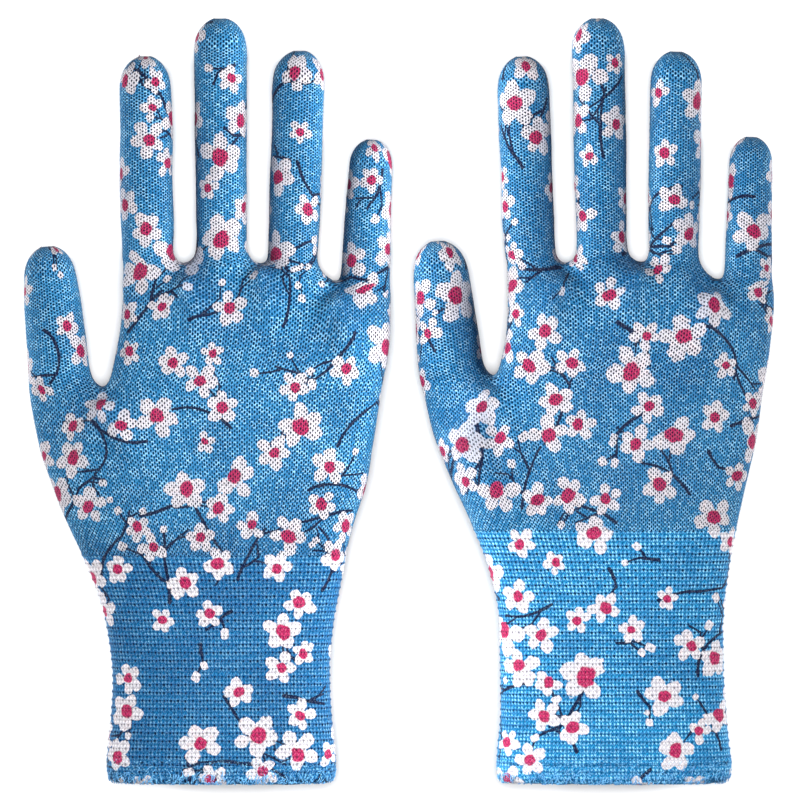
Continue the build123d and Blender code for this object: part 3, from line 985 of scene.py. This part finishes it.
# ------------------------------------------------------------------ materials
class Value:
    """What a node gives out. It can be added, subtracted, multiplied and divided like a plain number."""

    def __init__(self, nodes, socket):
        self.nodes = nodes
        self.socket = socket

    def __add__(self, other):
        return self.nodes.math("ADD", self, other)

    def __sub__(self, other):
        return self.nodes.math("SUBTRACT", self, other)

    def __rsub__(self, other):
        return self.nodes.math("SUBTRACT", other, self)

    def __mul__(self, other):
        return self.nodes.math("MULTIPLY", self, other)

    def __truediv__(self, other):
        return self.nodes.math("DIVIDE", self, other)

    def __abs__(self):
        return self.nodes.math("ABSOLUTE", self)

    __radd__ = __add__
    __rmul__ = __mul__


class Nodes:
    """Short ways to write a material's nodes."""

    def __init__(self, name):
        self.material = bpy.data.materials.new(name)
        self.material.use_nodes = True
        self.tree = self.material.node_tree
        self.shader = self.tree.nodes["Principled BSDF"]

    def fill(self, node, inputs):
        for key, value in inputs.items():
            if isinstance(value, Value):
                self.tree.links.new(value.socket, node.inputs[key])
            else:
                node.inputs[key].default_value = value

    def node(self, kind, inputs, output=0, **settings):
        """Adds a node with these inputs and settings and returns one of its outputs."""
        node = self.tree.nodes.new("ShaderNode" + kind)
        for key, value in settings.items():
            setattr(node, key, value)
        self.fill(node, inputs)
        return Value(self, node.outputs[output])

    def math(self, operation, *values, clamp=False):
        return self.node("Math", dict(enumerate(values)), operation=operation, use_clamp=clamp)

    def attribute(self, name, output="Vector"):
        return self.node("Attribute", {}, output, attribute_name=name)

    def split(self, vector):
        first = self.node("SeparateXYZ", {0: vector})
        return [Value(self, socket) for socket in first.socket.node.outputs]

    def combine(self, x, y, z=0.0):
        return self.node("CombineXYZ", {0: x, 1: y, 2: z})

    def ramp(self, value, low, high):
        """0 below low, 1 above high, smooth between; low may be above high."""
        start, end = (1.0, 0.0) if low > high else (0.0, 1.0)
        ends = {"From Min": min(low, high), "From Max": max(low, high), "To Min": start, "To Max": end}
        return self.node("MapRange", {"Value": value, **ends}, interpolation_type="SMOOTHSTEP")

    def mix(self, factor, a, b):
        return self.node("Mix", {0: factor, 6: a, 7: b}, 2, data_type="RGBA")

    def random(self, vector):
        return self.node("TexWhiteNoise", {0: vector}, noise_dimensions="3D")

    def noise(self, vector, scale, detail=2.0):
        return self.node("TexNoise", {"Vector": vector, "Scale": scale, "Detail": detail}, "Fac")

    def dress(self, inputs, height, strength, depth):
        """Gives the surface its shader inputs and a fine relief, depth being in metres."""
        normal = self.node("Bump", {"Strength": strength, "Distance": depth, "Height": height})
        self.fill(self.shader, {**inputs, "Normal": normal})
        return self.material


def srgb(r, g, b):
    """A colour given as it looks on a screen, from 0 to 255, as linear light."""
    return (*[((c / 255 + 0.055) / 1.055) ** 2.4 if c > 10 else c / 3295 for c in (r, g, b)], 1.0)


# a knit's grid of holes in mm, the least size of a hole and how much sizes differ, the lean of its stitches,
# how far from a hole the yarn stands highest and its painted highlight is full, the depth of its holes, which
# sets how dark their painted shade is, its blues, the colour of its painted highlight and the share of its
# painted glint
PLAIN = dict(cell=(WALE_WIDTH, COURSE_HEIGHT), squash=0.85, size=0.25, spread=0.10, lean=1.2, crown=0.54,
             depth=0.97, dark=srgb(0, 70, 124), mid=srgb(0, 126, 180), stitch_highlight=srgb(114, 198, 238), glint=0.30)
RIB = dict(cell=(1.23, 1.25), squash=1.0, size=0.19, spread=0.14, lean=1.5, crown=0.60,
           depth=0.88, dark=srgb(0, 84, 144), mid=srgb(10, 148, 206), stitch_highlight=srgb(122, 208, 244), glint=0.16)
# GLINT is a painted glint, and the last colour of each of the next three groups is painted shade for the webs
# between the fingers
INK, GLINT, SHADE, DEEP, PAINTED_SHADE_BLUE = (
    srgb(*c) for c in ((5, 22, 56), (230, 240, 248), (0, 76, 130), (0, 56, 108), (0, 54, 106)))
WHITE_DARK, WHITE_PALE, WHITE_PINK, WHITE_PAINTED_SHADE = (
    srgb(*c) for c in ((176, 174, 186), (226, 222, 224), (232, 205, 200), (120, 146, 178)))
CRIMSON_DARK, CRIMSON_PALE, CRIMSON_PAINTED_SHADE = (srgb(*c) for c in ((134, 16, 62), (190, 44, 98), (96, 8, 44)))
# painted shade: near-black of the glove's dark inside, seen through the holes
HOLE = srgb(0, 10, 36)


def print_cover(n, stitch, place):
    """How far the printed petals, hearts and twigs cover a place, from 0 to 1, with ragged edges."""
    ragged = (stitch - 0.5) * 0.20 + (n.noise(place, 420.0) - 0.5) * 0.55

    def reach(attribute, power=2.0):
        x, y, tone = n.split(n.attribute(attribute))
        x, y = (n.math("POWER", abs(q), power) for q in (x, y))
        return n.math("POWER", x + y, 1 / power), tone

    petal, tone = reach("petal_a")
    bud = n.ramp(tone, 1.2, 1.6)
    petal = petal * (1.0 - bud) + reach("petal_a", 4.0)[0] * bud
    petal = n.ramp(n.math("MINIMUM", petal, reach("petal_b")[0]) + ragged, 1.07, 0.95)
    heart = n.ramp(reach("heart")[0] + ragged, 1.12, 0.92)
    along, across, half = n.split(n.attribute("twig"))
    past = n.math("MAXIMUM", abs(along) - half, 0.0)
    twig = n.ramp(n.math("SQRT", past * past + across * across) + ragged * 2.2, 1.60, 0.90)
    return petal, heart, twig


def knit_material(name, side, cuff=False, hem=False):
    """Printed knit: stitches with holes between them, and the blossom print laid over them.

    The blue is darker on one part of each glove; the change is spread over the foot of the palm. The holes,
    the rib's grooves and the webs between the fingers carry painted shade, and the crowns of the stitches
    carry painted highlights.
    """
    n = Nodes(name)
    k = RIB if cuff else PLAIN
    u, v, _ = n.split(n.node("UVMap", {}, uv_map="knit"))
    if cuff:
        # the rib's holes stand in straight columns, two rows to a ridge
        u, v = u * 0.525, v * 2.0
    else:
        # every other column of the plain knit stands half a row higher
        v = v + n.math("PINGPONG", n.math("FLOOR", u + 0.5), 1.0) * 0.5
    cell_u, cell_v = (n.math("FLOOR", q + 0.5) for q in (u, v))
    fu, fv = u - cell_u, v - cell_v
    stitch = n.random(n.combine(cell_u, cell_v))
    other = n.random(n.combine(cell_u, cell_v, 7.0))
    place = n.node("TexCoord", {}, "Object")
    fibre = n.noise(place, 2600.0)
    broad = n.noise(place, 55.0)
    # each hole sits a little off its place and has its own size
    du, dv = ((q * 0.16 + (f - 0.08)) * width for q, f, width in zip((stitch, other), (fu, fv), k["cell"]))
    dv = dv * k["squash"]
    distance = n.math("SQRT", du * du + dv * dv)
    size = stitch * k["spread"] + k["size"] + broad * 0.12
    if cuff:
        # wide and narrow ones by turns
        size = size + abs(n.math("PINGPONG", cell_u, 1.0) - n.math("PINGPONG", cell_v, 1.0)) * 0.13
    if hem:
        size = size * n.ramp(n.noise(place, 500.0, 1.0), 0.30, 0.55)
    hole = n.ramp(distance / size, 1.05, 0.55)
    # legs of the V-shaped stitches
    leg = n.math("SINE", (v + abs(fu) * k["lean"]) * (2 * math.pi)) * 0.5 + 0.5
    petal, heart, twig = print_cover(n, stitch, place)

    # painted highlight: the yarn between the holes stands up, and is painted paler there as if lit
    stitch_highlight = n.ramp(distance, 0.34, k["crown"]) * (n.ramp(stitch, 0.2, 1.0) * 0.75 + 0.20)
    blue = n.mix(leg, k["dark"], k["mid"])
    if cuff:
        stitch_highlight = n.math("MULTIPLY", stitch_highlight, leg * 1.3 + 0.1, clamp=True)
        ridge = n.math("COSINE", v * math.pi) * 0.5 + 0.5
        # painted shade: the rib's grooves, where the relief dips, are painted darker
        blue = n.mix(ridge * 0.48, blue, srgb(0, 64, 116))
    blue = n.mix(stitch_highlight, blue, k["stitch_highlight"])
    # painted glint on the highest yarn
    blue = n.mix(n.ramp(stitch_highlight, 0.45, 0.95) * k["glint"], blue, GLINT)
    blue = n.mix(n.ramp(broad, 0.35, 0.72) * 0.30, blue, SHADE)
    height = n.split(place)[1]
    border = (HAND[side]["cuff_top"] - LENGTH / 2) * MM
    palm_depth, cuff_depth = BLUE_DEPTH[side]
    towards_cuff = n.ramp(height, border + 12 * MM, border - 6 * MM)
    # darker blue on one part of each glove
    blue = n.mix(towards_cuff * (cuff_depth - palm_depth) + palm_depth, blue, DEEP)
    # painted shade: the webs between the fingers and one side of some fingers are darkened in blue, white and
    # crimson, and their holes are painted less dark
    painted_shade = n.attribute("painted_shade", "Fac")
    blue = n.mix(painted_shade, blue, PAINTED_SHADE_BLUE)
    white = n.mix(leg, WHITE_DARK, WHITE_PALE)
    white = n.mix(n.ramp(other, 0.75, 1.0) * 0.35, white, WHITE_PINK)
    crimson = n.mix(leg, CRIMSON_DARK, CRIMSON_PALE)
    colour = n.mix(twig, blue, INK)
    colour = n.mix(petal, colour, n.mix(painted_shade, white, WHITE_PAINTED_SHADE))
    colour = n.mix(heart, colour, n.mix(painted_shade, crimson, CRIMSON_PAINTED_SHADE))
    if hem:
        # yarn ends show paler and darker where the edge is rough
        rough = n.noise(place, 1500.0)
        colour = n.mix(n.ramp(rough, 0.56, 0.70) * 0.55, colour, srgb(140, 208, 244))
        colour = n.mix(n.ramp(rough, 0.42, 0.30) * 0.6, colour, srgb(8, 44, 92))
    strand = n.mix(n.ramp(fibre, 0.45, 0.55), srgb(4, 22, 54), srgb(214, 232, 244))
    colour = n.mix(abs((fibre - 0.5) * 0.5), colour, strand)
    # the holes are painted less dark where the painted shade lies
    strength = painted_shade * -0.35 + k["depth"]
    if cuff:
        # one row of each ridge is shallow, the white print fills the rib's holes, and on the left cuff
        # they close towards the hem
        strength = strength * (ridge * 0.36 + 0.70)
        strength = strength * (petal * -0.22 + 1.0)
        foot = -LENGTH / 2 * MM
        closing = n.ramp(height, foot + 34 * MM, foot + 8 * MM)
        strength = strength * (closing * HOLES_CLOSE[side] + 1.0)
    hole = hole * strength
    # painted shade: the holes between the stitches are painted near-black
    colour = n.mix(hole, colour, HOLE)
    relief = leg * 0.45 - hole + fibre * 0.4
    return n.dress({"Base Color": colour, "Roughness": 0.5, "Specular IOR Level": 0.06}, relief, 0.8, 0.0003)


def yarn_material(name, dark, pale, grain, sheen):
    """Plain yarn or stretch thread: twisted strands between two tones."""
    n = Nodes(name)
    place = n.node("TexCoord", {}, "Object")
    fibre = n.noise(place, grain, 3.0)
    colour = n.mix(n.ramp(fibre, 0.35, 0.65), dark, pale)
    colour = n.mix(n.ramp(n.noise(place, grain / 12, 1.0), 0.35, 0.65) * 0.35, colour, dark)
    return n.dress({"Base Color": colour, "Roughness": 0.6, "Sheen Weight": sheen}, fibre, 0.5, 0.0001)


# ------------------------------------------------------------------ the pieces and what they hang on
def finish_piece(obj, material, node):
    obj.data.materials.clear()
    obj.data.materials.append(material)
    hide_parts(node)


loop_yarn = yarn_material("hem_yarn", srgb(34, 118, 184), srgb(130, 202, 240), 3000.0, 0.0)
stretch_thread = yarn_material("elastic_thread", srgb(176, 188, 200), srgb(228, 232, 236), 2400.0, 0.1)
joints = {(j["parent"], j["child"]): j for j in frame["joints"]}


def bend(pieces, edge, parent, child):
    """Bakes each piece's placing into its mesh; how far past the edge they hang on the fabric would turn over
    is worked out, but nothing is bent.
    """
    joint = joints[parent, child]
    pivot = np.array(joint["pos_m"])
    forward = np.cross([0, 0, 1], joint["axis"])
    if (np.array(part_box(child)).mean(axis=0) - pivot) @ forward < 0:
        forward = -forward
    reach = float(((edge - pivot) @ forward).max()) + 0.1 * MM
    for obj in pieces:
        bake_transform(obj)


glove_pieces = {}
for side, seed in (("right", 11), ("left", 23)):
    pieces, edges = build_glove(side, seed)
    made_of = {
        "cuff": (knit_material(f"{side}_rib_knit", side, cuff=True), "rib_knit"),
        "hem": (knit_material(f"{side}_hem_knit", side, cuff=True, hem=True), "hem_yarn"),
    }
    plain = (knit_material(f"{side}_printed_knit", side), "printed_knit")
    for name, obj in pieces.items():
        material, slot = made_of.get(name, plain)
        finish_piece(obj, material, f"{side}_{name}")
    for name in ("palm_lower", "palm_upper"):
        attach(pieces[name], f"{side}_palm")
    threads = build_threads(side)
    finish_piece(threads, stretch_thread, f"{side}_elastic")
    bend([pieces["cuff"], threads], edges["cuff"], f"{side}_palm", f"{side}_cuff")
    loops = build_loops(side, seed + 90)
    loops.data.materials.append(loop_yarn)
    for obj in (pieces["hem"], loops):
        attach(obj, f"{side}_cuff")
    glove_pieces[side] = [*pieces.values(), threads, loops]
    for finger in FINGERS:
        base, end = f"{finger}_base", f"{finger}_end"
        bend([pieces[base]], edges[base], f"{side}_palm", f"{side}_{base}")
        bend([pieces[end]], edges[end], f"{side}_{base}", f"{side}_{end}")

# ------------------------------------------------------------------ floor, light and camera
floor_mesh = bpy.data.meshes.new("floor")
floor_mesh.from_pydata([(-1.5, -1.5, 0), (1.5, -1.5, 0), (1.5, 1.5, 0), (-1.5, 1.5, 0)], [], [(0, 1, 2, 3)])
floor = linked("floor", floor_mesh)
paper = Nodes("paper")
paper.fill(paper.shader, {"Base Color": (0.9, 0.9, 0.9, 1), "Roughness": 0.9})
floor.data.materials.append(paper.material)

world = bpy.data.worlds.new("studio")
bpy.context.scene.world = world
world.use_nodes = True
world.node_tree.nodes["Background"].inputs[0].default_value = (1.0, 1.0, 1.0, 1)
world.node_tree.nodes["Background"].inputs[1].default_value = 0.05


def area_light(name, place, size, power, lit=None):
    """A round lamp aimed at the middle of the floor; lit names the objects it shines on, or none for all."""
    data = bpy.data.lights.new(name, "AREA")
    data.shape = "DISK"
    data.size = size
    data.energy = power
    light = linked(name, data)
    light.location = place
    light.rotation_euler = (-Vector(place)).to_track_quat("-Z", "Y").to_euler()
    light.visible_camera = False
    if lit:
        group = bpy.data.collections.new(name + "_receivers")
        for obj in lit:
            group.objects.link(obj)
        light.light_linking.receiver_collection = group


area_light("top", (-0.02, 0.06, 1.6), 0.35, 4.0)
area_light("backdrop", (0.0, 0.0, 1.5), 0.80, 26.0, [floor])
area_light("low_left", (-0.90, 0.05, 0.26), 0.30, 9.0)
area_light("low_right", (0.90, 0.05, 0.26), 0.30, 9.0)
area_light("right_key", (0.31, 0.04, 0.39), 0.14, 4.7, glove_pieces["right"])
area_light("left_key", (-0.30, 0.04, 0.39), 0.14, 4.7, glove_pieces["left"])

camera_data = bpy.data.cameras.new("camera")
camera = linked("camera", camera_data)
low, high = cad_bounds
CAMERA_HEIGHT = 2.0
CAMERA_SHIFT = 0.00047  # across, from the middle of the pair
VIEW_WIDTH = 0.2506  # what the camera takes in across, at VIEW_LEVEL above the floor
VIEW_LEVEL = 0.012
SENSOR = 36.0  # mm
camera.location = ((low[0] + high[0]) / 2 + CAMERA_SHIFT, (low[1] + high[1]) / 2, CAMERA_HEIGHT)
camera.rotation_euler = (0, 0, 0)
camera_data.sensor_width = SENSOR
camera_data.lens = SENSOR * (CAMERA_HEIGHT - VIEW_LEVEL) / VIEW_WIDTH
camera_data.clip_end = 10.0
bpy.context.scene.camera = camera
bpy.context.scene.view_settings.view_transform = "Standard"
